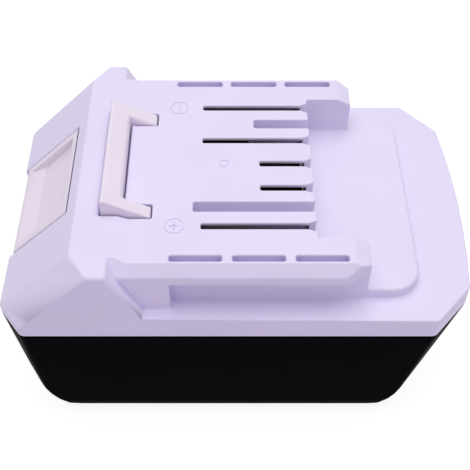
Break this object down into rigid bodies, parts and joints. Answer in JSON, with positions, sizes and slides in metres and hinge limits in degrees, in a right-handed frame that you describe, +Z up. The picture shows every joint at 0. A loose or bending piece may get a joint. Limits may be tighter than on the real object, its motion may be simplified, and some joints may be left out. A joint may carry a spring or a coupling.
{
  "type": "power tool battery pack",
  "caption": "Slide-on power tool battery pack: tapered black tray, pale cover with slide rails and contact slots, and a sprung latch with finger button and hook.",
  "frame": {"origin": "middle of the flat underside of the tray", "axes": "+X along the slide rails towards their open end, +Y across the pack away from the front, +Z up"},
  "size_m": [0.1146, 0.075, 0.062],
  "materials": {
    "tray_black": "fine grained moulded black",
    "cover_lilac": "satin moulded lilac white",
    "latch_rose": "satin moulded pinkish white",
    "spring_steel": "bright drawn wire",
    "holder_grey": "satin dark grey",
    "cell_sleeve": "shrunk sleeve",
    "fish_paper": "pressed paper",
    "nickel": "rolled nickel strip",
    "contact_copper": "stamped copper alloy",
    "board_green": "solder resist",
    "chip_black": "moulded resin",
    "screw_steel": "zinc plated"
  },
  "bodies": {
    "pack": {"lower_case": "tray_black", "upper_case": "cover_lilac", "latch_spring_front": "spring_steel", "latch_spring_rear": "spring_steel", "cell_holder_front": "holder_grey", "cell_holder_rear": "holder_grey", "cell_1": "cell_sleeve", "cell_2": "cell_sleeve", "cell_3": "cell_sleeve", "cell_4": "cell_sleeve", "cell_5": "cell_sleeve", "cell_6": "cell_sleeve", "cell_7": "cell_sleeve", "cell_8": "cell_sleeve", "cell_9": "cell_sleeve", "cell_10": "cell_sleeve", "insulator_rings": "fish_paper", "link_1_2": "nickel", "link_2_3": "nickel", "link_3_4": "nickel", "link_4_5": "nickel", "positive_tab": "nickel", "negative_tab": "nickel", "insulator_sheet_front": "fish_paper", "insulator_sheet_rear": "fish_paper", "circuit_board": "board_green", "controller_chip": "chip_black", "power_transistors": "chip_black", "shunt_resistor": "nickel", "thermistor": "nickel", "terminal_carrier": "holder_grey", "positive_terminal": "contact_copper", "negative_terminal": "contact_copper", "charge_terminal": "contact_copper", "signal_terminal_1": "contact_copper", "signal_terminal_2": "contact_copper", "board_screws": "screw_steel"},
    "latch": {"release_latch": "latch_rose"}
  },
  "joints": [
    {"name": "latch_slide", "type": "slide", "parent": "pack", "child": "latch", "axis": [0, 0, -1], "range_m": [0, 0.005], "stiffness_N_per_m": 1500, "springref_m": -0.004, "deforming": ["latch_spring_front", "latch_spring_rear"]}
  ]
}
